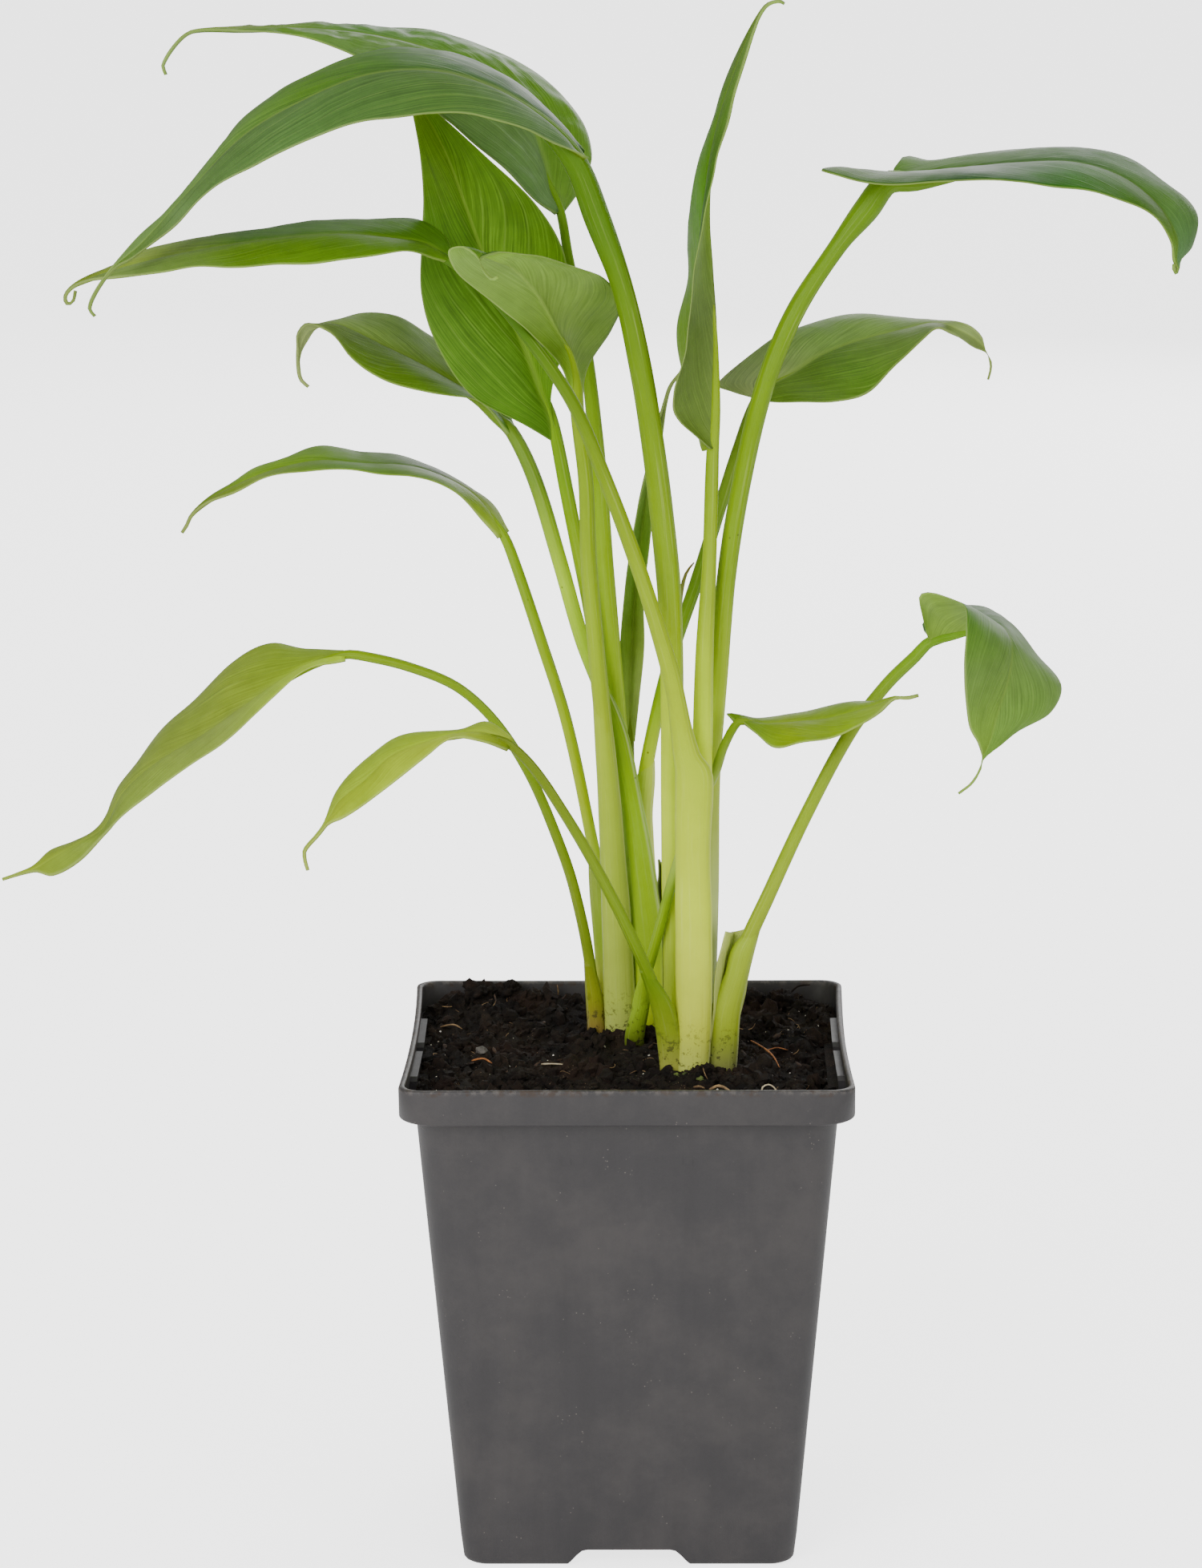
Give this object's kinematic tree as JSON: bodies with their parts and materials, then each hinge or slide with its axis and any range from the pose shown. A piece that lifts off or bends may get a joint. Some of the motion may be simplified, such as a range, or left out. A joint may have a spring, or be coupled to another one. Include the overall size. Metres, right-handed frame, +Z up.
{
  "type": "potted calla lily",
  "caption": "Leafy potted calla lily: arching lance-shaped leaves on slim stalks rising from two clumps in a square tapered nursery pot of soil.",
  "frame": {"origin": "middle of the pot's flat underside", "axes": "+Z up; +X to the right and +Y to the back, seen from the pot's front"},
  "size_m": [0.2379, 0.09, 0.3098],
  "materials": {
    "pot_plastic": "slightly ribbed, faintly dusty moulded plastic",
    "potting_mix": "loose dark crumbs with bark and perlite",
    "rhizome": "rough tan skin",
    "leaf_stalk": "smooth, finely grooved, satin",
    "leaf_blade": "waxy, satin, with pale side veins",
    "sheath": "thin, papery at its edge",
    "dry_leaf": "dry, wrinkled"
  },
  "bodies": {
    "root": {"pot": "pot_plastic", "soil": "potting_mix", "rhizome_left": "rhizome", "rhizome_right": "rhizome", "leaf_upper_rear_stalk": "leaf_stalk", "leaf_upper_rear_blade": "leaf_blade", "leaf_front_arch_stalk": "leaf_stalk", "leaf_front_arch_blade": "leaf_blade", "leaf_broad_rear_stalk": "leaf_stalk", "leaf_broad_rear_blade": "leaf_blade", "leaf_low_arch_left_stalk": "leaf_stalk", "leaf_low_arch_left_blade": "leaf_blade", "leaf_pale_underside_stalk": "leaf_stalk", "leaf_pale_underside_blade": "leaf_blade", "leaf_mid_left_stalk": "leaf_stalk", "leaf_mid_left_blade": "leaf_blade", "leaf_narrow_arch_stalk": "leaf_stalk", "leaf_narrow_arch_blade": "leaf_blade", "leaf_low_left_stalk": "leaf_stalk", "leaf_low_left_blade": "leaf_blade", "leaf_small_front_stalk": "leaf_stalk", "leaf_small_front_blade": "leaf_blade", "leaf_tall_folded_stalk": "leaf_stalk", "leaf_tall_folded_blade": "leaf_blade", "leaf_high_right_stalk": "leaf_stalk", "leaf_high_right_blade": "leaf_blade", "leaf_mid_right_stalk": "leaf_stalk", "leaf_mid_right_blade": "leaf_blade", "leaf_hanging_right_stalk": "leaf_stalk", "leaf_hanging_right_blade": "leaf_blade", "leaf_small_right_stalk": "leaf_stalk", "leaf_small_right_blade": "leaf_blade", "leaf_young_rolled_stalk": "leaf_stalk", "leaf_young_rolled_blade": "leaf_blade", "young_spear": "leaf_stalk", "torn_sheath": "sheath", "dry_bract": "dry_leaf"}
  },
  "joints": []
}
